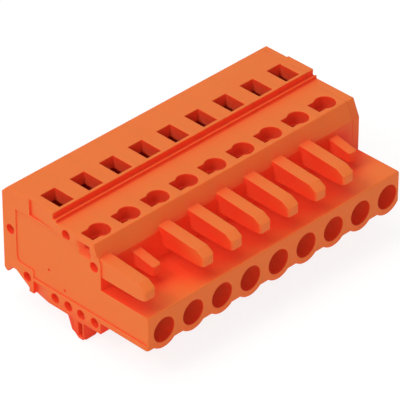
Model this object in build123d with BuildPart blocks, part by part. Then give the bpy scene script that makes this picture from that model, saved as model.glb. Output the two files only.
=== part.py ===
from build123d import *
import os

os.makedirs("parts", exist_ok=True)

# Row of poles, in millimetres. X runs along the row, -Y is the mating direction, +Z is up.
pole_count = 9
pitch = 5.08
end_plate_thickness = 1.3
row_width = pole_count * pitch + end_plate_thickness
row_left = -row_width / 2
row_right = row_width / 2

# Body outline. Depths run back from the mating face, heights up from the underside.
nose_depth = 8.37
body_depth = 26.05
underside_rear = 21.45
lean_height = 10.68
lean = 1.1
wire_deck_height = 13.17
lip_rise = 0.48
lip_width = 0.65
lip_groove_width = 0.48
lip_groove_depth = 0.2
tool_deck_rise = 0.65
tool_deck_front = 16.75
rear_bevel = 1.0
wall_top_front = nose_depth + lean
lip_height = wire_deck_height + lip_rise
tool_deck_height = lip_height + tool_deck_rise
rest_depth = (nose_depth + underside_rear) / 2

# Rear hook under the back edge
hook_height = 1.2
hook_width = 0.75
hook_root_height = 2.15
hook_slope = 0.75
hook_rise = 0.6
hook_bevel = 0.4

# Nose with one socket for each pole
nose_floor = 1.72
nose_deck = 6.72
nose_edge_chamfer = 0.15
nose_side_round = 0.4
pole_axis = 2.93
socket_height = 3.68
socket_radius = 1.76
sleeve_radius = 2.65

# Clamp chamber, open to the right in every housing
side_wall = 0.95
front_wall = 1.73
rear_wall = 2.45
floor_wall = 2.5
raised_floor = 3.7
raised_floor_front = 20.6
roof_wall = 2.57
tool_roof_wall = 1.95
chamber_front = nose_depth + front_wall
chamber_rear = body_depth - rear_wall
chamber_roof = wire_deck_height - roof_wall
tool_roof = tool_deck_height - tool_roof_wall

# Wire entry: a round hole with a square notch, stepping down to the guide bore
wire_room = 2.5
wire_depth = chamber_front + wire_room / 2
entry_radius = 1.44
entry_depth = 1.9
guide_radius = 1.15
notch_width = 2.17
notch_left = 0.75

# Tool slot in the upper deck
slot_width = 2.47
slot_length = 3.56
slot_setback = 0.44
slot_front = tool_deck_front + slot_setback

# Coding fingers, standing out of the front wall above the nose
finger_root = 0.85
finger_chamfer = 0.25
long_finger_left = 0.35
long_finger_width = 1.9
long_finger_gap = 1.85
long_finger_reach = 7.67
long_finger_nose = 1.3
long_finger_undercut = 0.23
long_finger_tip_height = 1.5
long_finger_shoulder_height = 2.25
long_finger_root_height = 2.78
short_finger_left = 0.5
short_finger_width = 1.5
short_finger_gap = 1.2
short_finger_reach = 3.74
short_finger_tip_height = 1.4
short_finger_root_height = 2.23
short_finger_poles = (2, 9)

# Pegs on the right face and the holes that take them on the left. Places are shares of
# the body depth and of the height of the tool deck.
peg_hole_radius = 0.7
peg_fit = 0.06
peg_hole_depth = 0.8
peg_length = 0.7
joining_peg_shares = ((0.947, 0.562),)
spare_hole_shares = (
    (0.366, 0.678),
    (0.551, 0.854),
    (0.835, 0.146),
    (0.638, 0.094),
    (0.546, 0.092),
    (0.458, 0.084),
    (0.362, 0.088),
)
ejector_mark_radius = 0.22
ejector_mark_depth = 0.15
ejector_mark_shares = ((0.683, 0.356), (0.574, 0.233))

# Shallow reliefs in the left face of the first housing
panel_relief = 0.15
panel_above_roof = 1.0
panel_round = 0.8
shoulder_relief = 0.28
shoulder_length = 4.9
shoulder_drop = 2.37
shoulder_rear = tool_deck_front - lip_width + shoulder_length
shoulder_bottom = tool_deck_height - shoulder_drop
wedge_relief = 0.5
wedge_length = 2.7
wedge_height = 2.0
pocket_relief = 0.75
pocket_taper = 0.9
pocket_width = 2.3
pocket_height = 2.25
pocket_setback = 2.93
pocket_drop = 1.82

# Snap-in foot under each end
foot_width = 2.35
foot_drop = 2.8
foot_leaf_rise = 0.2
foot_chamfer = 0.45
foot_front = 11.45
foot_rear = 15.1
foot_sole_share = 0.5
foot_heel_rise = 0.4
foot_leaf = 0.5
foot_leaf_front = 12.5
foot_leaf_width = 1.0
foot_slot_front = 11.75
foot_slot_depth = 1.4
foot_slot_rise = 0.35
foot_round = 0.3

# Contact: a current bar with a two-leaf fork in the socket
bar_thickness = 0.7
bar_width = 2.3
bar_front = chamber_front + wire_room
bar_rear = bar_front + bar_thickness
bar_below_roof = 0.4
leaf_thickness = 0.4
leaf_height = 2.3
leaf_gap = 1.35
leaf_pinch = 0.3
leaf_tip = 2.6
leaf_root = nose_depth
pinch_length = 1.2

# Cage clamp spring
spring_thickness = 0.35
spring_width = 3.4
fixed_leg_width = 2.2
spring_fit = 0.06
loop_radius = 1.6
top_bend = 0.6
pressure_lean = 0.25
window_leg_drop = 1.4
cage_bar = 0.5
window_width = 2.5
window_rear_room = 2.3
fixed_leg_top_gap = 0.6
leg_start = bar_rear + spring_fit
loop_centre_depth = leg_start + spring_thickness + loop_radius
loop_centre_height = floor_wall + spring_fit + spring_thickness + loop_radius
cage_front = bar_front - spring_fit - cage_bar
window_leg_height = chamber_roof - window_leg_drop

cut_overrun = 1.0


def place(depth, height):
    """A point of a side view: depth from the mating face, height from the underside."""
    return (depth - rest_depth, height)


def nearest(points, depth, height):
    """The corner of a side sketch that lies nearest to a place."""
    return points.sort_by_distance(Vector(*place(depth, height)))[0]


def box_between(x_low, x_high, depth_low, depth_high, height_low, height_high, mode=Mode.ADD):
    """A block between two places, added to or cut from the part in hand."""
    with BuildSketch(Plane.YZ.offset(x_low)) as side:
        with Locations(place((depth_low + depth_high) / 2, (height_low + height_high) / 2)):
            Rectangle(depth_high - depth_low, height_high - height_low)
    extrude(side.sketch, amount=x_high - x_low, mode=mode)


def body_outline():
    """The side face behind the front wall, with decks, grooved lip, rear hook and underside."""
    hook_rear = body_depth
    hook_front = body_depth - hook_width
    groove_front = tool_deck_front - lip_groove_width
    groove_floor = lip_height - lip_groove_depth
    with BuildSketch() as outline:
        with BuildLine():
            Polyline(
                place(nose_depth, 0),
                place(nose_depth, lean_height),
                place(wall_top_front, wire_deck_height),
                place(tool_deck_front - lip_width, wire_deck_height),
                place(tool_deck_front - lip_width, lip_height),
                place(groove_front, lip_height),
                place(groove_front, groove_floor),
                place(tool_deck_front, groove_floor),
                place(tool_deck_front, tool_deck_height),
                place(body_depth, tool_deck_height),
                place(hook_rear, hook_height),
                place(hook_front, hook_height),
                place(hook_front - hook_slope, hook_root_height),
                place(hook_front - 2 * hook_slope, hook_root_height),
                place(underside_rear, hook_rise),
                place(underside_rear, 0),
                close=True,
            )
        make_face()
        chamfer(nearest(outline.vertices(), body_depth, tool_deck_height), rear_bevel)
        chamfer(nearest(outline.vertices(), hook_rear, hook_height), hook_bevel)
    return outline.sketch


def chamber_outline():
    """The side face of the hollow that holds the current bar and the spring."""
    with BuildSketch() as outline:
        with BuildLine():
            Polyline(
                place(chamber_front, floor_wall),
                place(chamber_front, chamber_roof),
                place(tool_deck_front, chamber_roof),
                place(tool_deck_front, tool_roof),
                place(chamber_rear, tool_roof),
                place(chamber_rear, raised_floor),
                place(raised_floor_front, raised_floor),
                place(raised_floor_front, floor_wall),
                close=True,
            )
        make_face()
    return outline.sketch


def finger_outline(is_short):
    """The side face of a coding finger, rooted in the front wall."""
    root = nose_depth + finger_root
    bottom = nose_deck + (short_finger_gap if is_short else long_finger_gap)
    tip = nose_depth - (short_finger_reach if is_short else long_finger_reach)
    with BuildSketch() as outline:
        with BuildLine():
            if is_short:
                Polyline(
                    place(root, bottom),
                    place(tip, bottom),
                    place(tip, bottom + short_finger_tip_height),
                    place(root, bottom + short_finger_root_height),
                    close=True,
                )
            else:
                Polyline(
                    place(root, bottom),
                    place(tip + long_finger_nose, bottom),
                    place(tip, bottom + long_finger_undercut),
                    place(tip, bottom + long_finger_tip_height),
                    place(tip + long_finger_nose, bottom + long_finger_shoulder_height),
                    place(root, bottom + long_finger_root_height),
                    close=True,
                )
        make_face()
    return outline.sketch


def foot_outline(rear, drop):
    """The side face of a snap-in foot that reaches back and down to the given places."""
    heel = foot_front + foot_sole_share * (rear - foot_front)
    with BuildSketch() as outline:
        with BuildLine():
            Polyline(
                place(foot_front, hook_rise),
                place(foot_front, -drop),
                place(heel, -drop),
                place((heel + rear) / 2, foot_heel_rise - drop),
                place(rear, 0),
                place(rear, hook_rise),
                close=True,
            )
        make_face()
        fillet(nearest(outline.vertices(), foot_front, -drop), foot_round)
    return outline.sketch


def add_foot(outer_x, inward):
    """A snap-in foot: a block, its outer leaf and the slot that lets the leaf spring."""
    outer_face = Plane.YZ.offset(outer_x)
    block_face = Plane.YZ.offset(outer_x + inward * foot_leaf)
    leaf_drop = foot_drop - foot_leaf_rise
    extrude(
        block_face * foot_outline(foot_rear, foot_drop),
        amount=inward * (foot_width - foot_leaf),
    )
    extrude(
        outer_face * foot_outline(foot_leaf_front + foot_leaf_width, leaf_drop),
        amount=inward * foot_leaf,
    )
    inner_x = outer_x + inward * foot_width
    with BuildSketch(Plane.XZ.offset(rest_depth - foot_front)) as sole_bevel:
        with BuildLine():
            Polyline(
                (inner_x, -foot_drop),
                (inner_x, foot_chamfer - foot_drop),
                (inner_x - inward * foot_chamfer, -foot_drop),
                close=True,
            )
        make_face()
    extrude(sole_bevel.sketch, amount=foot_front - foot_rear, mode=Mode.SUBTRACT)
    slot_top = -foot_slot_rise / 2
    slot_bottom = foot_slot_rise - leaf_drop
    with BuildSketch(outer_face) as slot:
        with Locations(place((foot_slot_front + foot_leaf_front) / 2, (slot_top + slot_bottom) / 2)):
            Rectangle(foot_leaf_front - foot_slot_front, slot_top - slot_bottom)
    extrude(slot.sketch, amount=inward * foot_slot_depth, mode=Mode.SUBTRACT)


def round_pegs(face_x, shares, radius, amount, mode):
    """Round pegs, holes or marks on a side face, at places given as shares."""
    places = [place(across * body_depth, up * tool_deck_height) for across, up in shares]
    with BuildSketch(Plane.YZ.offset(face_x)) as circles:
        with Locations(*places):
            Circle(radius)
    extrude(circles.sketch, amount=amount, mode=mode)


def cut_face_reliefs(face_x):
    """The shallow panel, shoulder, wedge and funnel pocket of the outer left face."""
    panel_roof = chamber_roof + panel_above_roof
    with BuildSketch(Plane.YZ.offset(face_x)) as panel:
        with BuildLine():
            Polyline(
                place(-cut_overrun, floor_wall),
                place(raised_floor_front, floor_wall),
                place(raised_floor_front, raised_floor),
                place(chamber_rear, raised_floor),
                place(chamber_rear, panel_roof),
                place(-cut_overrun, panel_roof),
                close=True,
            )
        make_face()
        fillet(nearest(panel.vertices(), chamber_rear, raised_floor), panel_round)
    extrude(panel.sketch, amount=panel_relief, mode=Mode.SUBTRACT)

    with BuildSketch(Plane.XY.offset(shoulder_bottom)) as shoulder:
        with BuildLine():
            Polyline(
                (face_x, shoulder_rear - rest_depth),
                (face_x + shoulder_relief, shoulder_rear - rest_depth),
                (face_x, shoulder_rear - shoulder_length - rest_depth),
                close=True,
            )
        make_face()
    extrude(shoulder.sketch, amount=shoulder_drop, mode=Mode.SUBTRACT)

    with BuildSketch(Plane.XY) as wedge:
        with BuildLine():
            Polyline(
                (face_x, raised_floor_front - rest_depth),
                (face_x + wedge_relief, raised_floor_front - rest_depth),
                (face_x, raised_floor_front - wedge_length - rest_depth),
                close=True,
            )
        make_face()
    extrude(wedge.sketch, amount=wedge_height, mode=Mode.SUBTRACT)

    pocket_depth = nose_depth + pocket_setback
    pocket_middle = wire_deck_height - pocket_drop
    with BuildSketch(Plane.YZ.offset(face_x)) as pocket_mouth:
        with Locations(place(pocket_depth, pocket_middle)):
            Rectangle(pocket_width, pocket_height)
    with BuildSketch(Plane.YZ.offset(face_x + pocket_relief)) as pocket_floor:
        with Locations(place(pocket_depth - pocket_taper / 2, pocket_middle + pocket_taper / 2)):
            Rectangle(pocket_width - pocket_taper, pocket_height - pocket_taper)
    loft([pocket_mouth.sketch, pocket_floor.sketch], mode=Mode.SUBTRACT)


def make_housing(number):
    """One single-pole housing; the first and the last one carry a foot."""
    is_first = number == 1
    is_last = number == pole_count
    is_short = number in short_finger_poles
    left = row_left + (number - 1) * pitch
    right = left + pitch
    axis_x = left + pole_axis
    mating_face = Plane.XZ.offset(rest_depth)

    with BuildPart() as housing:
        with BuildSketch(Plane.YZ.offset(left)):
            add(body_outline())
        extrude(amount=pitch)

        # Nose: the front view of a block, with the socket sleeve bulging out under it
        flat_right = axis_x if is_last else right
        with BuildSketch(mating_face):
            with Locations((axis_x, socket_height)):
                Circle(sleeve_radius)
            with Locations(((left + right) / 2, socket_height - sleeve_radius / 2)):
                Rectangle(pitch, sleeve_radius, mode=Mode.INTERSECT)
            with Locations(((left + flat_right) / 2, (nose_floor + nose_deck) / 2)):
                Rectangle(flat_right - left, nose_deck - nose_floor)
            with Locations(((left + right) / 2, (socket_height + nose_deck) / 2)):
                Rectangle(pitch, nose_deck - socket_height)
        extrude(amount=-(nose_depth + front_wall / 2))
        if is_first:
            side_edge = housing.edges().filter_by(Axis.Z).group_by(Axis.Y)[0].sort_by(Axis.X)[0]
            fillet(side_edge, nose_side_round)
        deck_edge = housing.edges().filter_by(Axis.X).group_by(Axis.Y)[0].sort_by(Axis.Z)[-1]
        chamfer(deck_edge, nose_edge_chamfer)

        # Coding finger
        finger_left = left + (short_finger_left if is_short else long_finger_left)
        finger_width = short_finger_width if is_short else long_finger_width
        finger_tip = nose_depth - (short_finger_reach if is_short else long_finger_reach)
        with BuildSketch(Plane.YZ.offset(finger_left)):
            add(finger_outline(is_short))
        extrude(amount=finger_width)
        tip_edges = housing.edges().filter_by(Axis.Z).filter_by_position(
            Axis.Y,
            finger_tip - rest_depth - finger_chamfer,
            finger_tip - rest_depth + finger_chamfer,
        )
        chamfer(tip_edges, finger_chamfer)

        # Clamp chamber and the socket bore that leads into it
        with BuildSketch(Plane.YZ.offset(left + side_wall)):
            add(chamber_outline())
        extrude(amount=pitch, mode=Mode.SUBTRACT)
        with BuildSketch(mating_face):
            with Locations((axis_x, socket_height)):
                Circle(socket_radius)
        extrude(amount=-chamber_front, mode=Mode.SUBTRACT)

        # Wire entry: keyhole recess in the deck, then the guide bore through the roof
        with BuildSketch(Plane.XY.offset(wire_deck_height)):
            with Locations((axis_x, wire_depth - rest_depth)):
                Circle(entry_radius)
            notch_length = pole_axis - notch_left
            with Locations((axis_x - notch_length / 2, wire_depth - rest_depth)):
                Rectangle(notch_length, notch_width)
        extrude(amount=-entry_depth, mode=Mode.SUBTRACT)
        with BuildSketch(Plane.XY.offset(wire_deck_height - entry_depth)):
            with Locations((axis_x, wire_depth - rest_depth)):
                Circle(guide_radius)
        extrude(amount=entry_depth - roof_wall, mode=Mode.SUBTRACT)

        # Tool slot
        with BuildSketch(Plane.XY.offset(tool_deck_height)):
            with Locations((axis_x, slot_front + slot_length / 2 - rest_depth)):
                Rectangle(slot_width, slot_length)
        extrude(amount=-tool_roof_wall, mode=Mode.SUBTRACT)

        # Pegs, peg holes, reliefs and foot
        peg_radius = peg_hole_radius - peg_fit
        round_pegs(right, joining_peg_shares, peg_radius, peg_length, Mode.ADD)
        round_pegs(left, joining_peg_shares, peg_hole_radius, peg_hole_depth, Mode.SUBTRACT)
        if is_first:
            mark_depth = panel_relief + ejector_mark_depth
            round_pegs(left, spare_hole_shares, peg_hole_radius, peg_hole_depth, Mode.SUBTRACT)
            round_pegs(left, ejector_mark_shares, ejector_mark_radius, mark_depth, Mode.SUBTRACT)
            cut_face_reliefs(left)
            add_foot(left, 1)
        if is_last:
            add_foot(right, -1)
    housing.part.label = f"pole_housing_{number}"
    return housing.part


def make_end_plate():
    """The plate that closes the open side of the last housing."""
    left = row_right - end_plate_thickness
    with BuildPart() as plate:
        with BuildSketch(Plane.YZ.offset(left)):
            add(body_outline())
        extrude(amount=end_plate_thickness)
        round_pegs(left, joining_peg_shares, peg_hole_radius, peg_hole_depth, Mode.SUBTRACT)
        box_between(
            row_right - shoulder_relief,
            row_right + cut_overrun,
            shoulder_rear + shoulder_relief,
            body_depth + cut_overrun,
            shoulder_bottom,
            tool_deck_height + cut_overrun,
            mode=Mode.SUBTRACT,
        )
    plate.part.label = "end_plate"
    return plate.part


def make_contact(number):
    """A bent current bar, ending in the fork that grips the header pin."""
    axis_x = row_left + (number - 1) * pitch + pole_axis
    bar_bottom = socket_height - bar_thickness / 2
    bar_top = chamber_roof - bar_below_roof
    with BuildPart() as contact:
        # Bar: along the socket axis, then up behind the wire
        with BuildSketch(Plane.YZ.offset(axis_x - bar_width / 2)) as bar:
            with BuildLine():
                Polyline(
                    place(leaf_root, bar_bottom),
                    place(bar_rear, bar_bottom),
                    place(bar_rear, bar_top),
                    place(bar_front, bar_top),
                    place(bar_front, bar_bottom + bar_thickness),
                    place(leaf_root, bar_bottom + bar_thickness),
                    close=True,
                )
            make_face()
            fillet(nearest(bar.vertices(), bar_rear, bar_bottom), bar_thickness)
        extrude(amount=bar_width)

        # Fork: two leaves that close in on the pin near their tips
        with BuildSketch(Plane.XY.offset(socket_height - leaf_height / 2)):
            for side in (-1, 1):
                outer = leaf_gap / 2 + leaf_thickness
                with BuildLine():
                    Polyline(
                        (axis_x + side * leaf_gap / 2, leaf_root + bar_thickness - rest_depth),
                        (axis_x + side * outer, leaf_root + bar_thickness - rest_depth),
                        (axis_x + side * outer, leaf_root - bar_thickness - rest_depth),
                        (axis_x + side * (outer - leaf_pinch), leaf_tip + pinch_length - rest_depth),
                        (axis_x + side * outer, leaf_tip - rest_depth),
                        (axis_x + side * leaf_gap / 2, leaf_tip - rest_depth),
                        (
                            axis_x + side * (leaf_gap / 2 - leaf_pinch),
                            leaf_tip + pinch_length - rest_depth,
                        ),
                        (axis_x + side * leaf_gap / 2, leaf_root - bar_thickness - rest_depth),
                        close=True,
                    )
                make_face()
        extrude(amount=leaf_height)
    contact.part.label = f"contact_{number}"
    return contact.part


def make_clamp_spring(number):
    """A cage clamp: fixed leg, loop, pressure leg and the windowed leg that grips the wire."""
    axis_x = row_left + (number - 1) * pitch + pole_axis
    with BuildPart() as spring:
        # Loop, pressure leg and window leg, bent from one strip
        with BuildSketch(Plane.YZ.offset(axis_x - spring_width / 2)):
            with BuildLine():
                loop = JernArc(
                    place(leg_start + spring_thickness, loop_centre_height),
                    (0, -1),
                    loop_radius,
                    180,
                )
                FilletPolyline(
                    loop @ 1,
                    place(loop_centre_depth + loop_radius + pressure_lean, window_leg_height),
                    place(cage_front, window_leg_height),
                    radius=top_bend,
                )
                offset(amount=spring_thickness, side=Side.RIGHT)
            make_face()
        extrude(amount=spring_width)
        box_between(
            axis_x - window_width / 2,
            axis_x + window_width / 2,
            cage_front + cage_bar,
            bar_rear + window_rear_room,
            window_leg_height - spring_thickness,
            window_leg_height + 2 * spring_thickness,
            mode=Mode.SUBTRACT,
        )

        # Fixed leg: narrower, it stands up through the window behind the current bar
        box_between(
            axis_x - fixed_leg_width / 2,
            axis_x + fixed_leg_width / 2,
            leg_start,
            leg_start + spring_thickness,
            loop_centre_height - spring_thickness / 2,
            chamber_roof - fixed_leg_top_gap,
        )
    spring.part.label = f"clamp_spring_{number}"
    return spring.part


pieces = []
for pole in range(1, pole_count + 1):
    pieces.append(make_housing(pole))
    pieces.append(make_contact(pole))
    pieces.append(make_clamp_spring(pole))
pieces.append(make_end_plate())

for piece in pieces:
    export_step(piece, f"parts/{piece.label}.step")
    print(piece.label, round(piece.volume, 2))
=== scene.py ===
import math

import bmesh
import bpy
from mathutils import Matrix, Vector


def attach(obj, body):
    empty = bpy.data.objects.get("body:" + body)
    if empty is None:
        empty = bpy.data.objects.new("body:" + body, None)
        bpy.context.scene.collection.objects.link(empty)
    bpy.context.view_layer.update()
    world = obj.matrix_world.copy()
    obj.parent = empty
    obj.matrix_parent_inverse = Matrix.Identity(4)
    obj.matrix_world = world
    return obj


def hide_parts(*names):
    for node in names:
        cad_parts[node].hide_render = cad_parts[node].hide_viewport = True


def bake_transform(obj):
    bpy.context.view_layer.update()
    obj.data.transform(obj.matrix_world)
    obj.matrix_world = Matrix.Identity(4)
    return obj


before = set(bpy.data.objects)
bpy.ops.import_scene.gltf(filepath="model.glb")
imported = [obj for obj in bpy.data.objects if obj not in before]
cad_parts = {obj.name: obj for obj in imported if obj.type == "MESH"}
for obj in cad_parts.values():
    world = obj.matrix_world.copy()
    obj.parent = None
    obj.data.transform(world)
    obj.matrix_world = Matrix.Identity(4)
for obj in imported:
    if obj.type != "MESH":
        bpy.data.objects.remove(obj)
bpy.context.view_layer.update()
print("frame loaded:", len(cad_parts), "nodes")

mm = 0.001

row = {
    "poles": 9,
    "pitch": 5.08 * mm,
    "left": -23.51 * mm,
    "poleAxis": 2.93 * mm,  # from a housing's left face to its socket and wire entry
    "plateSeam": 22.21 * mm,  # between the last housing and the end plate
    "floor": -2.8 * mm,  # the soles of the snap-in feet
}
poleNumbers = range(1, row["poles"] + 1)


finish = {
    "dotInside": 0.05,  # how far a speckle's full tone and its fade reach, in grains
    "dotOutside": 0.22,
    "flatLikeness": 0.995,  # a rounded normal this close to the true one is no edge
    "edgeLikeness": 0.80,
    "breakScale": 900.0,
    "bevelSamples": 6,
    "opennessSamples": 8,
    "bumpDepth": 0.02 * mm,
}


def makeShaderGroup(name, inputs, outputs):
    tree = bpy.data.node_groups.new(name, "ShaderNodeTree")
    for label, kind, value in inputs:
        socket = tree.interface.new_socket(name=label, in_out="INPUT", socket_type=kind)
        if value is not None:
            socket.default_value = value
    for label, kind in outputs:
        tree.interface.new_socket(name=label, in_out="OUTPUT", socket_type=kind)
    return tree, tree.nodes.new("NodeGroupInput"), tree.nodes.new("NodeGroupOutput")


def addNode(tree, kind, x, y, **settings):
    node = tree.nodes.new(kind)
    node.location = (x, y)
    for key, value in settings.items():
        if key.startswith("in_"):
            node.inputs[key[3:].replace("_", " ")].default_value = value
        else:
            setattr(node, key, value)
    return node


def makeGrainGroup():
    tree, given, result = makeShaderGroup(
        "mouldGrain",
        [
            ("Vector", "NodeSocketVector", None),
            ("Grain Scale", "NodeSocketFloat", 9000.0),
            ("Cloud Scale", "NodeSocketFloat", 220.0),
            ("Grain Share", "NodeSocketFloat", 0.6),
        ],
        [("Height", "NodeSocketFloat"), ("Cloud", "NodeSocketFloat"), ("Speckle", "NodeSocketFloat")],
    )
    link = tree.links.new
    grain = addNode(tree, "ShaderNodeTexNoise", -400, 200, in_Detail=3.0, in_Roughness=0.55)
    cloud = addNode(tree, "ShaderNodeTexNoise", -400, -60, in_Detail=2.0, in_Roughness=0.5)
    speckle = addNode(tree, "ShaderNodeTexVoronoi", -400, -320, feature="F1")
    mixHeight = addNode(tree, "ShaderNodeMix", 0, 120, data_type="FLOAT")
    dots = addNode(tree, "ShaderNodeMapRange", 0, -320)
    dots.inputs["From Min"].default_value = finish["dotInside"]
    dots.inputs["From Max"].default_value = finish["dotOutside"]
    dots.inputs["To Min"].default_value = 1.0
    dots.inputs["To Max"].default_value = 0.0
    for texture in (grain, cloud, speckle):
        link(given.outputs["Vector"], texture.inputs["Vector"])
    link(given.outputs["Grain Scale"], grain.inputs["Scale"])
    link(given.outputs["Grain Scale"], speckle.inputs["Scale"])
    link(given.outputs["Cloud Scale"], cloud.inputs["Scale"])
    link(given.outputs["Grain Share"], mixHeight.inputs["Factor"])
    link(cloud.outputs["Fac"], mixHeight.inputs["A"])
    link(grain.outputs["Fac"], mixHeight.inputs["B"])
    link(speckle.outputs["Distance"], dots.inputs["Value"])
    link(mixHeight.outputs["Result"], result.inputs["Height"])
    link(cloud.outputs["Fac"], result.inputs["Cloud"])
    link(dots.outputs["Result"], result.inputs["Speckle"])
    return tree


# painted highlight: a mask along rounded edges, broken up by noise, where a lighter colour is mixed in;
# its rounded normal also feeds the bump
def makeEdgeGroup():
    tree, given, result = makeShaderGroup(
        "paintedEdgeHighlight",
        [
            ("Vector", "NodeSocketVector", None),
            ("Radius", "NodeSocketFloat", 0.0001),
            ("Break Up", "NodeSocketFloat", 0.4),
            ("Seam Start", "NodeSocketFloat", -1.0),
            ("Seam Pitch", "NodeSocketFloat", 1.0),
            ("Seam End", "NodeSocketFloat", 1.0),
            ("Seam Clear", "NodeSocketFloat", 0.0),
        ],
        [("Mask", "NodeSocketFloat"), ("Normal", "NodeSocketVector")],
    )
    link = tree.links.new
    # no rounding beside a seam between two housings, which read as one surface
    parts = addNode(tree, "ShaderNodeSeparateXYZ", -1600, 300)
    fromStart = addNode(tree, "ShaderNodeMath", -1400, 300, operation="SUBTRACT")
    toSeam = addNode(tree, "ShaderNodeMath", -1200, 300, operation="PINGPONG")
    halfPitch = addNode(tree, "ShaderNodeMath", -1400, 120, operation="MULTIPLY")
    halfPitch.inputs[1].default_value = 0.5
    away = addNode(tree, "ShaderNodeMath", -1000, 300, operation="GREATER_THAN")
    before = addNode(tree, "ShaderNodeMath", -1200, -60, operation="LESS_THAN")
    after = addNode(tree, "ShaderNodeMath", -1200, -220, operation="GREATER_THAN")
    outer = addNode(tree, "ShaderNodeMath", -1000, -120, operation="ADD")
    rounds = addNode(tree, "ShaderNodeMath", -860, 200, operation="MAXIMUM")
    radius = addNode(tree, "ShaderNodeMath", -740, 200, operation="MULTIPLY")
    link(given.outputs["Vector"], parts.inputs[0])
    link(parts.outputs["X"], fromStart.inputs[0])
    link(given.outputs["Seam Start"], fromStart.inputs[1])
    link(given.outputs["Seam Pitch"], halfPitch.inputs[0])
    link(fromStart.outputs[0], toSeam.inputs[0])
    link(halfPitch.outputs[0], toSeam.inputs[1])
    link(toSeam.outputs[0], away.inputs[0])
    link(given.outputs["Seam Clear"], away.inputs[1])
    link(fromStart.outputs[0], before.inputs[0])
    link(halfPitch.outputs[0], before.inputs[1])
    link(parts.outputs["X"], after.inputs[0])
    link(given.outputs["Seam End"], after.inputs[1])
    link(before.outputs[0], outer.inputs[0])
    link(after.outputs[0], outer.inputs[1])
    link(away.outputs[0], rounds.inputs[0])
    link(outer.outputs[0], rounds.inputs[1])
    link(rounds.outputs[0], radius.inputs[0])
    link(given.outputs["Radius"], radius.inputs[1])
    rounded = addNode(tree, "ShaderNodeBevel", -600, 100, samples=finish["bevelSamples"])
    surface = addNode(tree, "ShaderNodeNewGeometry", -600, -100)
    likeness = addNode(tree, "ShaderNodeVectorMath", -380, 60, operation="DOT_PRODUCT")
    spread = addNode(tree, "ShaderNodeMapRange", -180, 60)
    spread.inputs["From Min"].default_value = finish["flatLikeness"]
    spread.inputs["From Max"].default_value = finish["edgeLikeness"]
    breaks = addNode(tree, "ShaderNodeTexNoise", -380, -240, in_Scale=finish["breakScale"], in_Detail=3.0)
    keep = addNode(tree, "ShaderNodeMath", -180, -240, operation="MULTIPLY")
    less = addNode(tree, "ShaderNodeMath", 0, -160, operation="SUBTRACT", use_clamp=True)
    masked = addNode(tree, "ShaderNodeMath", 180, 40, operation="MULTIPLY", use_clamp=True)
    less.inputs[0].default_value = 1.0
    link(radius.outputs[0], rounded.inputs["Radius"])
    link(given.outputs["Vector"], breaks.inputs["Vector"])
    link(rounded.outputs["Normal"], likeness.inputs[0])
    link(surface.outputs["Normal"], likeness.inputs[1])
    link(likeness.outputs["Value"], spread.inputs["Value"])
    link(breaks.outputs["Fac"], keep.inputs[0])
    link(given.outputs["Break Up"], keep.inputs[1])
    link(keep.outputs[0], less.inputs[1])
    link(spread.outputs["Result"], masked.inputs[0])
    link(less.outputs[0], masked.inputs[1])
    link(masked.outputs[0], result.inputs["Mask"])
    link(rounded.outputs["Normal"], result.inputs["Normal"])
    return tree


# painted shade: a mask from ambient occlusion, used to tint the plastic's colour in recesses
def makeRecessShadeGroup():
    tree, given, result = makeShaderGroup(
        "paintedRecessShade",
        [
            ("Reach", "NodeSocketFloat", 0.003),
            ("Open", "NodeSocketFloat", 0.97),
            ("Closed", "NodeSocketFloat", 0.42),
        ],
        [("Mask", "NodeSocketFloat")],
    )
    link = tree.links.new
    openness = addNode(tree, "ShaderNodeAmbientOcclusion", -400, 0, samples=finish["opennessSamples"])
    spread = addNode(tree, "ShaderNodeMapRange", -180, 0)
    spread.interpolation_type = "SMOOTHSTEP"
    link(given.outputs["Reach"], openness.inputs["Distance"])
    link(openness.outputs["AO"], spread.inputs["Value"])
    link(given.outputs["Open"], spread.inputs["From Min"])
    link(given.outputs["Closed"], spread.inputs["From Max"])
    link(spread.outputs["Result"], result.inputs["Mask"])
    return tree


grainGroup = makeGrainGroup()
edgeGroup = makeEdgeGroup()
recessShadeGroup = makeRecessShadeGroup()


def startMaterial(name):
    material = bpy.data.materials.new(name)
    material.use_nodes = True
    tree = material.node_tree
    shader = tree.nodes["Principled BSDF"]
    place = addNode(tree, "ShaderNodeTexCoord", -1300, 0)
    return material, tree, shader, place.outputs["Object"]


def placeGroup(tree, group, x, y, vector, **values):
    node = addNode(tree, "ShaderNodeGroup", x, y, node_tree=group)
    tree.links.new(vector, node.inputs["Vector"])
    for key, value in values.items():
        node.inputs[key.replace("_", " ")].default_value = value
    return node


def placeGrain(tree, look, vector):
    return placeGroup(
        tree,
        grainGroup,
        -1050,
        100,
        vector,
        Grain_Scale=look["grainScale"],
        Cloud_Scale=look["cloudScale"],
        Grain_Share=look["grainShare"],
    )


def cloudColours(tree, look, grain):
    clouded = addNode(tree, "ShaderNodeMix", -760, 220, data_type="RGBA")
    clouded.inputs["A"].default_value = look["colour"]
    clouded.inputs["B"].default_value = look["cloudColour"]
    tree.links.new(grain.outputs["Cloud"], clouded.inputs["Factor"])
    return clouded.outputs["Result"]


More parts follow.
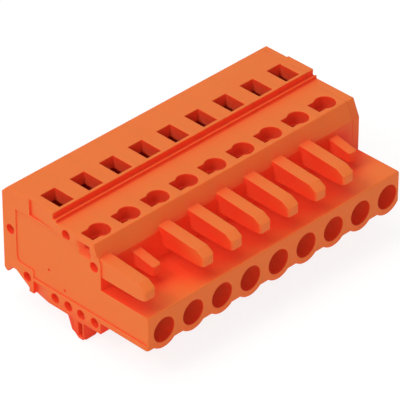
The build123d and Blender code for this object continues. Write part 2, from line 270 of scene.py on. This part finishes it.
def finishSurface(tree, shader, look, grain, edge):
    link = tree.links.new
    # painted highlight: the lighter edge colour is mixed in along edges
    highlighted = addNode(tree, "ShaderNodeMix", -360, 220, data_type="RGBA")
    highlighted.inputs["B"].default_value = look["edgeHighlightColour"]
    rough = addNode(tree, "ShaderNodeMapRange", -560, -240)
    rough.inputs["To Min"].default_value = look["roughLow"]
    rough.inputs["To Max"].default_value = look["roughHigh"]
    bump = addNode(tree, "ShaderNodeBump", -300, -420, in_Strength=look["bump"])
    bump.inputs["Distance"].default_value = finish["bumpDepth"]
    link(highlighted.outputs["Result"], shader.inputs["Base Color"])
    link(grain.outputs["Height"], rough.inputs["Value"])
    link(rough.outputs["Result"], shader.inputs["Roughness"])
    link(grain.outputs["Height"], bump.inputs["Height"])
    link(edge.outputs["Normal"], bump.inputs["Normal"])
    link(bump.outputs["Normal"], shader.inputs["Normal"])
    return highlighted


orangeLook = {
    "grainScale": 9000.0,
    "cloudScale": 160.0,
    "grainShare": 0.75,
    "colour": (0.965, 0.218, 0.046, 1),
    "cloudColour": (0.945, 0.198, 0.040, 1),
    "shadeColour": (0.985, 0.076, 0.024, 1),  # painted shade: the plastic is coloured redder between its fingers and in other recesses
    "deepColour": (1.0, 0.140, 0.054, 1),  # painted shade deep down in its holes, a little paler again
    "tintReach": 6.0 * mm,
    "shadeOpen": 0.99,
    "shadeClosed": 0.64,
    "deepOpen": 0.40,
    "deepClosed": 0.10,
    # painted highlight: a lighter colour along edges
    "edgeHighlightColour": (0.97, 0.250, 0.070, 1),
    "edgeShare": 0.7,
    "edgeRadius": 0.14 * mm,
    "edgeBreakUp": 0.5,
    "seamClear": 0.16 * mm,
    "speckleColour": (0.97, 0.225, 0.055, 1),
    "speckleShare": 0.25,
    "roughLow": 0.42,
    "roughHigh": 0.56,
    "specular": 0.16,
    "scatter": 0.25,  # a thin wall of this nylon lets some red light through
    "scatterDepth": 0.5 * mm,
    "scatterColour": (1.0, 0.22, 0.08),
    "bump": 0.12,
}


def makeOrangePlastic(look):
    material, tree, shader, place = startMaterial("orangePolyamide")
    link = tree.links.new
    grain = placeGrain(tree, look, place)
    edge = placeGroup(
        tree,
        edgeGroup,
        -1050,
        -200,
        place,
        Radius=look["edgeRadius"],
        Break_Up=look["edgeBreakUp"],
        Seam_Start=row["left"],
        Seam_Pitch=row["pitch"],
        Seam_End=row["plateSeam"] - row["pitch"] / 2,
        Seam_Clear=look["seamClear"],
    )
    speckled = addNode(tree, "ShaderNodeMix", -560, 220, data_type="RGBA")
    speckled.inputs["B"].default_value = look["speckleColour"]
    dotShare = addNode(tree, "ShaderNodeMath", -760, 20, operation="MULTIPLY")
    dotShare.inputs[1].default_value = look["speckleShare"]
    # painted shade: two occlusion masks tint the colour redder in recesses, and again deep in holes
    tinted = []
    for tint, height in (("shade", 420), ("deep", 620)):
        shadeMask = addNode(tree, "ShaderNodeGroup", -760, height, node_tree=recessShadeGroup)
        shadeMask.inputs["Reach"].default_value = look["tintReach"]
        shadeMask.inputs["Open"].default_value = look[tint + "Open"]
        shadeMask.inputs["Closed"].default_value = look[tint + "Closed"]
        mixed = addNode(tree, "ShaderNodeMix", -460, height, data_type="RGBA")
        mixed.inputs["B"].default_value = look[tint + "Colour"]
        link(shadeMask.outputs["Mask"], mixed.inputs["Factor"])
        tinted.append(mixed)
    shaded, deepShaded = tinted
    # painted highlight: a share of the edge mask mixes in the lighter edge colour
    edgeShare = addNode(tree, "ShaderNodeMath", -560, -60, operation="MULTIPLY")
    edgeShare.inputs[1].default_value = look["edgeShare"]
    highlighted = finishSurface(tree, shader, look, grain, edge)
    link(cloudColours(tree, look, grain), speckled.inputs["A"])
    link(grain.outputs["Speckle"], dotShare.inputs[0])
    link(dotShare.outputs[0], speckled.inputs["Factor"])
    link(speckled.outputs["Result"], shaded.inputs["A"])
    link(shaded.outputs["Result"], deepShaded.inputs["A"])
    link(deepShaded.outputs["Result"], highlighted.inputs["A"])
    link(edge.outputs["Mask"], edgeShare.inputs[0])
    link(edgeShare.outputs[0], highlighted.inputs["Factor"])
    shader.inputs["Specular IOR Level"].default_value = look["specular"]
    shader.inputs["Subsurface Weight"].default_value = look["scatter"]
    shader.inputs["Subsurface Scale"].default_value = look["scatterDepth"]
    shader.inputs["Subsurface Radius"].default_value = look["scatterColour"]
    return material


tinLook = {
    "colour": (0.62, 0.60, 0.56, 1),
    "cloudColour": (0.50, 0.48, 0.45, 1),
    # painted highlight: a lighter colour along edges
    "edgeHighlightColour": (0.78, 0.76, 0.72, 1),
    "roughLow": 0.30,
    "roughHigh": 0.48,
    "metallic": 1.0,
    "grainScale": 4000.0,
    "cloudScale": 400.0,
    "grainShare": 0.6,
    "edgeRadius": 0.06 * mm,
    "edgeBreakUp": 0.3,
    "bump": 0.10,
    "rolling": (1.0, 1.0, 0.3),  # the grain is drawn out along the strip
}

steelLook = {
    "colour": (0.48, 0.47, 0.45, 1),
    "cloudColour": (0.38, 0.37, 0.36, 1),
    # painted highlight: a lighter colour along edges
    "edgeHighlightColour": (0.66, 0.65, 0.63, 1),
    "roughLow": 0.26,
    "roughHigh": 0.42,
    "metallic": 1.0,
    "grainScale": 6000.0,
    "cloudScale": 400.0,
    "grainShare": 0.6,
    "edgeRadius": 0.06 * mm,
    "edgeBreakUp": 0.3,
    "bump": 0.08,
    "rolling": (0.3, 1.0, 1.0),
}


def makeMetal(name, look):
    material, tree, shader, place = startMaterial(name)
    link = tree.links.new
    drawn = addNode(tree, "ShaderNodeMapping", -1250, -120)
    drawn.inputs["Scale"].default_value = look["rolling"]
    link(place, drawn.inputs["Vector"])
    grain = placeGrain(tree, look, drawn.outputs["Vector"])
    edge = placeGroup(
        tree, edgeGroup, -1050, -200, place, Radius=look["edgeRadius"], Break_Up=look["edgeBreakUp"]
    )
    highlighted = finishSurface(tree, shader, look, grain, edge)
    link(cloudColours(tree, look, grain), highlighted.inputs["A"])
    link(edge.outputs["Mask"], highlighted.inputs["Factor"])
    shader.inputs["Metallic"].default_value = look["metallic"]
    return material


orangePlastic = makeOrangePlastic(orangeLook)
tinnedCopper = makeMetal("tinnedCopper", tinLook)
springSteel = makeMetal("springSteel", steelLook)
print("materials made")


rounding = {
    "housing": 0.07 * mm,
    "plate": 0.07 * mm,
    "contact": 0.06 * mm,
    "seam": 0.05 * mm,  # the hairline between the row and its end plate
    "weldWithin": 0.001 * mm,
    "mergeWithin": math.radians(0.6),
    "seamWithin": 0.004 * mm,
    "sharpFrom": math.radians(28),
    "flatWithin": math.radians(1),
    "largeFace": 20 * mm * mm,  # such a face stays flat up to its border
    "flatFace": 4.5 * mm * mm,  # larger than any facet of a round hole
    "mostBend": math.radians(40),
    "roomShare": 0.45,  # of the shortest edge beside it, so two roundings never meet
    "leastShare": 0.15,
    "segments": 2,
    "normalWeight": 100,
    "pastSole": 0.005 * mm,
    "cornerReach": 0.35 * mm,
    "cornerShare": 0.25,
}


def mergedCopy(node, name):
    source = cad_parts[node]
    mesh = source.data.copy()
    mesh.name = name
    work = bmesh.new()
    work.from_mesh(mesh)
    bmesh.ops.remove_doubles(work, verts=work.verts, dist=rounding["weldWithin"])
    bmesh.ops.dissolve_limit(
        work,
        angle_limit=rounding["mergeWithin"],
        verts=work.verts,
        edges=work.edges,
        use_dissolve_boundaries=False,
    )
    return mesh, work


def isSeamEdge(edge, seams):
    return any(all(abs(end.co.x - seam) < rounding["seamWithin"] for end in edge.verts) for seam in seams)


def shortestBeside(edge):
    lengths = [edge.calc_length()]
    for corner in edge.verts:
        lengths += [other.calc_length() for other in corner.link_edges]
    return min(lengths)


def roundedCopy(node, name, width, seams, plateSeams=()):
    mesh, work = mergedCopy(node, name)
    weight = work.edges.layers.float.new("bevel_weight_edge")
    for edge in work.edges:
        if len(edge.link_faces) != 2:
            continue
        angle = edge.calc_face_angle(0)
        largest = max(face.calc_area() for face in edge.link_faces)
        edge.smooth = angle < rounding["flatWithin"] or (
            angle < rounding["sharpFrom"] and largest < rounding["largeFace"]
        )
        if angle < rounding["sharpFrom"] or isSeamEdge(edge, seams):
            continue
        room = rounding["roomShare"] * shortestBeside(edge) / width
        wanted = rounding["seam"] / width if isSeamEdge(edge, plateSeams) else 1.0
        if room > rounding["leastShare"]:
            edge[weight] = min(wanted, room)
    for face in work.faces:
        face.smooth = True
    work.to_mesh(mesh)
    work.free()
    mesh.materials.clear()
    piece = bpy.data.objects.new(name, mesh)
    bpy.context.scene.collection.objects.link(piece)
    bevel = piece.modifiers.new("roundEdges", "BEVEL")
    bevel.width = width
    bevel.segments = rounding["segments"]
    bevel.limit_method = "WEIGHT"
    bevel.offset_type = "OFFSET"
    bevel.use_clamp_overlap = False  # each edge's weight already leaves it room
    flat = piece.modifiers.new("flatFaces", "WEIGHTED_NORMAL")
    flat.keep_sharp = True
    flat.weight = rounding["normalWeight"]
    bakeModifiers(piece)
    pullCornersIn(piece.data)
    straightenNormals(piece.data)
    return piece


def bakeModifiers(piece):
    graph = bpy.context.evaluated_depsgraph_get()
    finished = bpy.data.meshes.new_from_object(
        piece.evaluated_get(graph), preserve_all_data_layers=True, depsgraph=graph
    )
    finished.name = piece.name
    piece.modifiers.clear()
    piece.data = finished


# rounding can throw the corner of a thin foot past its sole
def pullCornersIn(mesh):
    for edge in mesh.edges:
        thrown, kept = sorted((mesh.vertices[end] for end in edge.vertices), key=lambda end: end.co.z)
        past = row["floor"] - thrown.co.z
        apart = (thrown.co - kept.co).length
        if past > rounding["pastSole"] and apart < rounding["cornerReach"]:
            thrown.co = kept.co.lerp(thrown.co, rounding["cornerShare"])


# large faces are shaded flat, and no corner leans far from its face
def straightenNormals(mesh):
    normals = [corner.vector.copy() for corner in mesh.corner_normals]
    for face in mesh.polygons:
        for corner in face.loop_indices:
            bend = normals[corner].angle(face.normal, 0)
            if face.area > rounding["flatFace"] or bend > rounding["mostBend"]:
                normals[corner] = face.normal.copy()
    mesh.normals_split_custom_set(normals)


def shadeByAngle(mesh):
    for face in mesh.polygons:
        face.use_smooth = True
    mesh.set_sharp_from_angle(angle=rounding["sharpFrom"])


def dress(piece, material, slot, body, *nodes):
    piece.data.materials.clear()
    piece.data.materials.append(material)
    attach(piece, body)
    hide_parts(*nodes)


seamPlaces = [row["left"] + row["pitch"] * number for number in poleNumbers[:-1]]
for number in poleNumbers:
    housing = roundedCopy(
        f"pole_housing_{number}",
        f"mouldedHousing{number}",
        rounding["housing"],
        seamPlaces,
        (row["plateSeam"],),
    )
    dress(housing, orangePlastic, "orange_polyamide", "housing", f"pole_housing_{number}")
plate = roundedCopy("end_plate", "mouldedEndPlate", rounding["plate"], (), (row["plateSeam"],))
dress(plate, orangePlastic, "orange_polyamide", "housing", "end_plate")
for number in poleNumbers:
    contact = roundedCopy(f"contact_{number}", f"stampedContact{number}", rounding["contact"], ())
    dress(contact, tinnedCopper, "tinned_copper", "housing", f"contact_{number}")
print("housings, plate and contacts rounded")


spring = {
    "thickness": 0.35 * mm,
    "stripWidth": 3.4 * mm,
    "fixedLegWidth": 2.2 * mm,
    "windowWidth": 2.5 * mm,
    "windowFlag": 0.99,  # a stretch is cut where both of its ends are flagged
    "windowReach": 0.3 * mm,
    "bendSteps": 12,
    "loopBend": 1.775 * mm,
    "topBend": 0.775 * mm,
    "fixedLegY": -1.375 * mm,
    "pressureLegY": 2.175 * mm,
    "pressureLegTopY": 2.425 * mm,
    "loopBottom": 2.735 * mm,
    "loopCentre": 4.51 * mm,
    "fixedLegTop": 10.0 * mm,
    "taperTop": 5.21 * mm,
    "taperBottom": 4.71 * mm,
    "loopTop": 4.56 * mm,  # where the loop ends and the cage begins
    "windowLegZ": 9.375 * mm,
    "windowRear": 0.69 * mm,
    "windowFront": -2.37 * mm,
    "tip": -2.87 * mm,
    "edge": 0.05 * mm,
    "edgeSegments": 2,
    "edgeFrom": math.radians(50),
    "weldWithin": 0.002 * mm,
    "bendStart": -1.2 * mm,  # the loop bends from here to there when the clamp opens
    "bendEnd": 2.0 * mm,
}


def makeStripTree():
    tree = bpy.data.node_groups.new("bentStrip", "GeometryNodeTree")
    sockets = {}
    for label, kind in (
        ("Geometry", "NodeSocketGeometry"),
        ("Strip Width", "NodeSocketFloat"),
        ("Window Width", "NodeSocketFloat"),
        ("Thickness", "NodeSocketFloat"),
        ("Bend Steps", "NodeSocketInt"),
        ("Pole Offset", "NodeSocketFloat"),
        ("Material", "NodeSocketMaterial"),
    ):
        sockets[label] = tree.interface.new_socket(name=label, in_out="INPUT", socket_type=kind)
    tree.interface.new_socket(name="Geometry", in_out="OUTPUT", socket_type="NodeSocketGeometry")
    link = tree.links.new
    given = addNode(tree, "NodeGroupInput", -1800, 0)
    result = addNode(tree, "NodeGroupOutput", 1800, 0)

    toCurve = addNode(tree, "GeometryNodeMeshToCurve", -1600, 0)
    bendSize = addNode(tree, "GeometryNodeInputNamedAttribute", -1600, -200, data_type="FLOAT")
    bendSize.inputs["Name"].default_value = "bend"
    fillet = addNode(tree, "GeometryNodeFilletCurve", -1400, 0, mode="POLY")
    fillet.inputs["Limit Radius"].default_value = True
    toMesh = addNode(tree, "GeometryNodeCurveToMesh", -1200, 0)
    link(given.outputs["Geometry"], toCurve.inputs["Mesh"])
    link(toCurve.outputs["Curve"], fillet.inputs["Curve"])
    link(bendSize.outputs["Attribute"], fillet.inputs["Radius"])
    link(given.outputs["Bend Steps"], fillet.inputs["Count"])
    link(fillet.outputs["Curve"], toMesh.inputs["Curve"])

    # the path is drawn out sideways in three steps: rail, window and rail
    half = addNode(tree, "ShaderNodeMath", -1400, -400, operation="MULTIPLY")
    half.inputs[1].default_value = -0.5
    start = addNode(tree, "ShaderNodeCombineXYZ", -1200, -400)
    toStart = addNode(tree, "GeometryNodeTransform", -1000, 0)
    rails = addNode(tree, "ShaderNodeMath", -1400, -600, operation="SUBTRACT")
    rail = addNode(tree, "ShaderNodeMath", -1200, -600, operation="MULTIPLY")
    rail.inputs[1].default_value = 0.5
    railStep = addNode(tree, "ShaderNodeCombineXYZ", -1000, -600)
    windowStep = addNode(tree, "ShaderNodeCombineXYZ", -1000, -760)
    link(given.outputs["Strip Width"], half.inputs[0])
    link(half.outputs[0], start.inputs["X"])
    link(toMesh.outputs["Mesh"], toStart.inputs["Geometry"])
    link(start.outputs[0], toStart.inputs["Translation"])
    link(given.outputs["Strip Width"], rails.inputs[0])
    link(given.outputs["Window Width"], rails.inputs[1])
    link(rails.outputs[0], rail.inputs[0])
    link(rail.outputs[0], railStep.inputs["X"])
    link(given.outputs["Window Width"], windowStep.inputs["X"])
    drawn = toStart.outputs["Geometry"]
    front = None
    for x, step in ((-800, railStep), (-600, windowStep), (-400, railStep)):
        draw = addNode(tree, "GeometryNodeExtrudeMesh", x, 0, mode="EDGES")
        draw.inputs["Offset Scale"].default_value = 1.0
        link(drawn, draw.inputs["Mesh"])
        if front:
            link(front, draw.inputs["Selection"])
        link(step.outputs[0], draw.inputs["Offset"])
        drawn, front = draw.outputs["Mesh"], draw.outputs["Top"]

    # the fixed leg is narrower: x is scaled by the share stored on the path
    share = addNode(tree, "GeometryNodeInputNamedAttribute", -400, -300, data_type="FLOAT")
    share.inputs["Name"].default_value = "share"
    spot = addNode(tree, "GeometryNodeInputPosition", -400, -460)
    parts = addNode(tree, "ShaderNodeSeparateXYZ", -200, -460)
    narrower = addNode(tree, "ShaderNodeMath", 0, -360, operation="MULTIPLY")
    rebuilt = addNode(tree, "ShaderNodeCombineXYZ", 180, -420)
    narrow = addNode(tree, "GeometryNodeSetPosition", 340, 0)
    link(spot.outputs["Position"], parts.inputs[0])
    link(parts.outputs["X"], narrower.inputs[0])
    link(share.outputs["Attribute"], narrower.inputs[1])
    link(narrower.outputs[0], rebuilt.inputs["X"])
    link(parts.outputs["Y"], rebuilt.inputs["Y"])
    link(parts.outputs["Z"], rebuilt.inputs["Z"])
    link(drawn, narrow.inputs["Geometry"])
    link(rebuilt.outputs[0], narrow.inputs["Position"])

    # the window: middle faces whose whole path stretch is flagged
    flag = addNode(tree, "GeometryNodeInputNamedAttribute", 340, -300, data_type="FLOAT")
    flag.inputs["Name"].default_value = "window"
    flagged = addNode(tree, "FunctionNodeCompare", 520, -300, data_type="FLOAT", operation="GREATER_THAN")
    flagged.inputs["B"].default_value = spring["windowFlag"]
    spotNow = addNode(tree, "GeometryNodeInputPosition", 340, -460)
    partsNow = addNode(tree, "ShaderNodeSeparateXYZ", 520, -460)
    offCentre = addNode(tree, "ShaderNodeMath", 700, -460, operation="ABSOLUTE")
    middle = addNode(tree, "FunctionNodeCompare", 880, -460, data_type="FLOAT", operation="LESS_THAN")
    middle.inputs["B"].default_value = spring["windowReach"]
    both = addNode(tree, "FunctionNodeBooleanMath", 880, -300, operation="AND")
    cut = addNode(tree, "GeometryNodeDeleteGeometry", 700, 0, domain="FACE", mode="ALL")
    link(flag.outputs["Attribute"], flagged.inputs["A"])
    link(spotNow.outputs["Position"], partsNow.inputs[0])
    link(partsNow.outputs["X"], offCentre.inputs[0])
    link(offCentre.outputs[0], middle.inputs["A"])
    link(flagged.outputs["Result"], both.inputs[0])
    link(middle.outputs["Result"], both.inputs[1])
    link(narrow.outputs["Geometry"], cut.inputs["Geometry"])
    link(both.outputs[0], cut.inputs["Selection"])

    # thickness, half on each side of the path
    normal = addNode(tree, "GeometryNodeInputNormal", 700, -640)
    back = addNode(tree, "ShaderNodeMath", 700, -760, operation="MULTIPLY")
    back.inputs[1].default_value = -0.5
    shift = addNode(tree, "ShaderNodeVectorMath", 900, -640, operation="SCALE")
    settle = addNode(tree, "GeometryNodeSetPosition", 1000, 0)
    thicken = addNode(tree, "GeometryNodeExtrudeMesh", 1160, 120, mode="FACES")
    thicken.inputs["Individual"].default_value = False
    under = addNode(tree, "GeometryNodeFlipFaces", 1160, -120)
    join = addNode(tree, "GeometryNodeJoinGeometry", 1320, 0)
    weld = addNode(tree, "GeometryNodeMergeByDistance", 1440, 0)
    weld.inputs["Distance"].default_value = spring["weldWithin"]
    toPole = addNode(tree, "GeometryNodeTransform", 1540, 0)
    poleStep = addNode(tree, "ShaderNodeCombineXYZ", 1440, -300)
    realize = addNode(tree, "GeometryNodeRealizeInstances", 1620, 0)
    paint = addNode(tree, "GeometryNodeSetMaterial", 1720, 0)
    link(given.outputs["Thickness"], back.inputs[0])
    link(normal.outputs["Normal"], shift.inputs[0])
    link(back.outputs[0], shift.inputs["Scale"])
    link(cut.outputs["Geometry"], settle.inputs["Geometry"])
    link(shift.outputs["Vector"], settle.inputs["Offset"])
    link(settle.outputs["Geometry"], thicken.inputs["Mesh"])
    link(given.outputs["Thickness"], thicken.inputs["Offset Scale"])
    link(settle.outputs["Geometry"], under.inputs["Mesh"])
    link(thicken.outputs["Mesh"], join.inputs["Geometry"])
    link(under.outputs["Mesh"], join.inputs["Geometry"])
    link(join.outputs["Geometry"], weld.inputs["Geometry"])
    link(given.outputs["Pole Offset"], poleStep.inputs["X"])
    link(weld.outputs["Geometry"], toPole.inputs["Geometry"])
    link(poleStep.outputs[0], toPole.inputs["Translation"])
    link(toPole.outputs["Geometry"], realize.inputs["Geometry"])
    link(realize.outputs["Geometry"], paint.inputs["Geometry"])
    link(given.outputs["Material"], paint.inputs["Material"])
    link(paint.outputs["Geometry"], result.inputs["Geometry"])
    return tree, {label: socket.identifier for label, socket in sockets.items()}


stripTree, stripSockets = makeStripTree()


def bendStrip(name, stops, poleX):
    mesh = bpy.data.meshes.new(name)
    points = [(0, stop[0], stop[1]) for stop in stops]
    mesh.from_pydata(points, [(i, i + 1) for i in range(len(points) - 1)], [])
    for label, column in (("bend", 2), ("share", 3), ("window", 4)):
        values = mesh.attributes.new(label, "FLOAT", "POINT")
        values.data.foreach_set("value", [float(stop[column]) for stop in stops])
    piece = bpy.data.objects.new(name, mesh)
    bpy.context.scene.collection.objects.link(piece)
    strip = piece.modifiers.new("bentStrip", "NODES")
    strip.node_group = stripTree
    for label, value in (
        ("Strip Width", spring["stripWidth"]),
        ("Window Width", spring["windowWidth"]),
        ("Thickness", spring["thickness"]),
        ("Bend Steps", spring["bendSteps"]),
        ("Pole Offset", poleX),
        ("Material", springSteel),
    ):
        strip[stripSockets[label]] = value
    bakeModifiers(piece)
    work = bmesh.new()
    work.from_mesh(piece.data)
    bmesh.ops.recalc_face_normals(work, faces=work.faces)
    work.to_mesh(piece.data)
    work.free()
    shadeByAngle(piece.data)
    bevel = piece.modifiers.new("roundEdges", "BEVEL")
    bevel.harden_normals = True
    bevel.width = spring["edge"]
    bevel.segments = spring["edgeSegments"]
    bevel.limit_method = "ANGLE"
    bevel.angle_limit = spring["edgeFrom"]
    bakeModifiers(piece)
    return piece


# the stops of each path: y, z, bend radius, share of the strip's width, window
legShare = spring["fixedLegWidth"] / spring["stripWidth"]
loopStops = [
    (spring["fixedLegY"], spring["fixedLegTop"], 0, legShare, 0),
    (spring["fixedLegY"], spring["taperTop"], 0, legShare, 0),
    (spring["fixedLegY"], spring["taperBottom"], 0, 1, 0),
    (spring["fixedLegY"], spring["loopBottom"], spring["loopBend"], 1, 0),
    (spring["pressureLegY"], spring["loopBottom"], spring["loopBend"], 1, 0),
    (spring["pressureLegY"], spring["loopTop"], 0, 1, 0),
]
cageStops = [
    (spring["pressureLegY"], spring["loopTop"], 0, 1, 0),
    (spring["pressureLegTopY"], spring["windowLegZ"], spring["topBend"], 1, 0),
    (spring["windowRear"], spring["windowLegZ"], 0, 1, 1),
    (spring["windowFront"], spring["windowLegZ"], 0, 1, 1),
    (spring["tip"], spring["windowLegZ"], 0, 1, 0),
]
for number in poleNumbers:
    poleX = row["left"] + row["pitch"] * (number - 1) + row["poleAxis"]
    body = f"clamp_{number}"
    loop = bendStrip(f"springLoop{number}", loopStops, poleX)
    cage = bendStrip(f"springCage{number}", cageStops, poleX)
    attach(cage, body)
    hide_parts(f"clamp_spring_{number}")
    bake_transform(loop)
    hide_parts(f"clamp_spring_{number}")
print("clamp springs bent")


studio = {
    "ambient": 0.36,
    "floorSize": 1.2,
    "floorColour": (0.93, 0.93, 0.93, 1),
    "floorMottle": (0.95, 0.95, 0.95, 1),
    "mottleScale": 6.0,
    "floorRough": 0.9,
    "floorSpecular": 0.1,
    "floorGlow": 1.10,
    "floorGlowShare": 0.78,
    "lamps": (
        # name, place, power in watts, size, colour
        ("softTop", (-0.10, 0.16, 0.62), 1.16, 0.40, (1.0, 1.0, 1.0)),
        ("softLeft", (-0.47, 0.12, 0.54), 1.41, 0.22, (1.0, 1.0, 1.0)),
        ("softFront", (-0.34, -0.60, 0.18), 0.84, 0.30, (1.0, 0.60, 0.44)),
    ),
}


# the pale set shows at full strength to the camera and in mirrors, and lights the part less
def seenDirectly(tree, x, y):
    seen = addNode(tree, "ShaderNodeLightPath", x, y)
    cameraOrGloss = addNode(tree, "ShaderNodeMath", x + 200, y, operation="MAXIMUM")
    orClear = addNode(tree, "ShaderNodeMath", x + 380, y, operation="MAXIMUM")
    tree.links.new(seen.outputs["Is Camera Ray"], cameraOrGloss.inputs[0])
    tree.links.new(seen.outputs["Is Glossy Ray"], cameraOrGloss.inputs[1])
    tree.links.new(cameraOrGloss.outputs[0], orClear.inputs[0])
    tree.links.new(seen.outputs["Is Transmission Ray"], orClear.inputs[1])
    return orClear.outputs[0]


def makeFloor():
    size = studio["floorSize"]
    mesh = bpy.data.meshes.new("studioFloor")
    corners = [(-size, -size), (size, -size), (size, size), (-size, size)]
    mesh.from_pydata([(x, y, row["floor"]) for x, y in corners], [], [(0, 1, 2, 3)])
    floor = bpy.data.objects.new("studioFloor", mesh)
    bpy.context.scene.collection.objects.link(floor)
    material, tree, shader, place = startMaterial("paleFloor")
    link = tree.links.new
    mottle = addNode(tree, "ShaderNodeTexNoise", -900, 100, in_Scale=studio["mottleScale"], in_Detail=2.0)
    tint = addNode(tree, "ShaderNodeMix", -600, 100, data_type="RGBA")
    tint.inputs["A"].default_value = studio["floorColour"]
    tint.inputs["B"].default_value = studio["floorMottle"]
    shader.inputs["Roughness"].default_value = studio["floorRough"]
    shader.inputs["Specular IOR Level"].default_value = studio["floorSpecular"]
    link(place, mottle.inputs["Vector"])
    link(mottle.outputs["Fac"], tint.inputs["Factor"])
    link(tint.outputs["Result"], shader.inputs["Base Color"])
    glowShare = addNode(tree, "ShaderNodeMath", -40, 500, operation="MULTIPLY")
    glowShare.inputs[1].default_value = studio["floorGlowShare"]
    glow = addNode(tree, "ShaderNodeEmission", 140, 500)
    glow.inputs["Strength"].default_value = studio["floorGlow"]
    both = addNode(tree, "ShaderNodeMixShader", 360, 300)
    output = tree.nodes["Material Output"]
    link(seenDirectly(tree, -600, 500), glowShare.inputs[0])
    link(glowShare.outputs[0], both.inputs[0])
    link(shader.outputs[0], both.inputs[1])
    link(glow.outputs[0], both.inputs[2])
    link(both.outputs[0], output.inputs["Surface"])
    mesh.materials.append(material)


def makeWorld():
    world = bpy.data.worlds.new("studioWorld")
    bpy.context.scene.world = world
    world.use_nodes = True
    tree = world.node_tree
    link = tree.links.new
    background = tree.nodes["Background"]
    background.inputs["Color"].default_value = (1, 1, 1, 1)
    strength = addNode(tree, "ShaderNodeMapRange", -240, 0)
    strength.inputs["To Min"].default_value = studio["ambient"]
    strength.inputs["To Max"].default_value = 1.0
    link(seenDirectly(tree, -800, 0), strength.inputs["Value"])
    link(strength.outputs["Result"], background.inputs["Strength"])


def makeLamps():
    for name, place, power, size, colour in studio["lamps"]:
        lamp = bpy.data.lights.new(name, "AREA")
        lamp.energy = power
        lamp.size = size
        lamp.color = colour
        holder = bpy.data.objects.new(name, lamp)
        holder.location = place
        holder.rotation_euler = Vector(place).to_track_quat("Z", "Y").to_euler()
        bpy.context.scene.collection.objects.link(holder)


view = {
    "aim": (-3.321 * mm, -3.907 * mm, 9.293 * mm),
    "azimuth": math.radians(-45.082),
    "elevation": math.radians(34.669),
    "roll": math.radians(0.037),
    "distance": 469.43 * mm,
    "lens": 332.64,
    "sensor": 36.0,
    "nearest": 0.01,
    "farthest": 10.0,
}


def makeCamera():
    azimuth, elevation, roll = view["azimuth"], view["elevation"], view["roll"]
    back = Vector(
        (
            math.sin(azimuth) * math.cos(elevation),
            -math.cos(azimuth) * math.cos(elevation),
            math.sin(elevation),
        )
    )
    right = Vector((0, 0, 1)).cross(back).normalized()
    up = back.cross(right)
    turnedRight = math.cos(roll) * right + math.sin(roll) * up
    turnedUp = -math.sin(roll) * right + math.cos(roll) * up
    lens = bpy.data.cameras.new("studioCamera")
    lens.sensor_width = view["sensor"]
    lens.lens = view["lens"]
    lens.clip_start = view["nearest"]
    lens.clip_end = view["farthest"]
    camera = bpy.data.objects.new("studioCamera", lens)
    turn = Matrix((turnedRight, turnedUp, back)).transposed().to_4x4()
    camera.matrix_world = Matrix.Translation(Vector(view["aim"]) + back * view["distance"]) @ turn
    bpy.context.scene.collection.objects.link(camera)
    bpy.context.scene.camera = camera


makeFloor()
makeWorld()
makeLamps()
makeCamera()
bpy.context.scene.view_settings.view_transform = "Standard"
print("studio and camera ready")
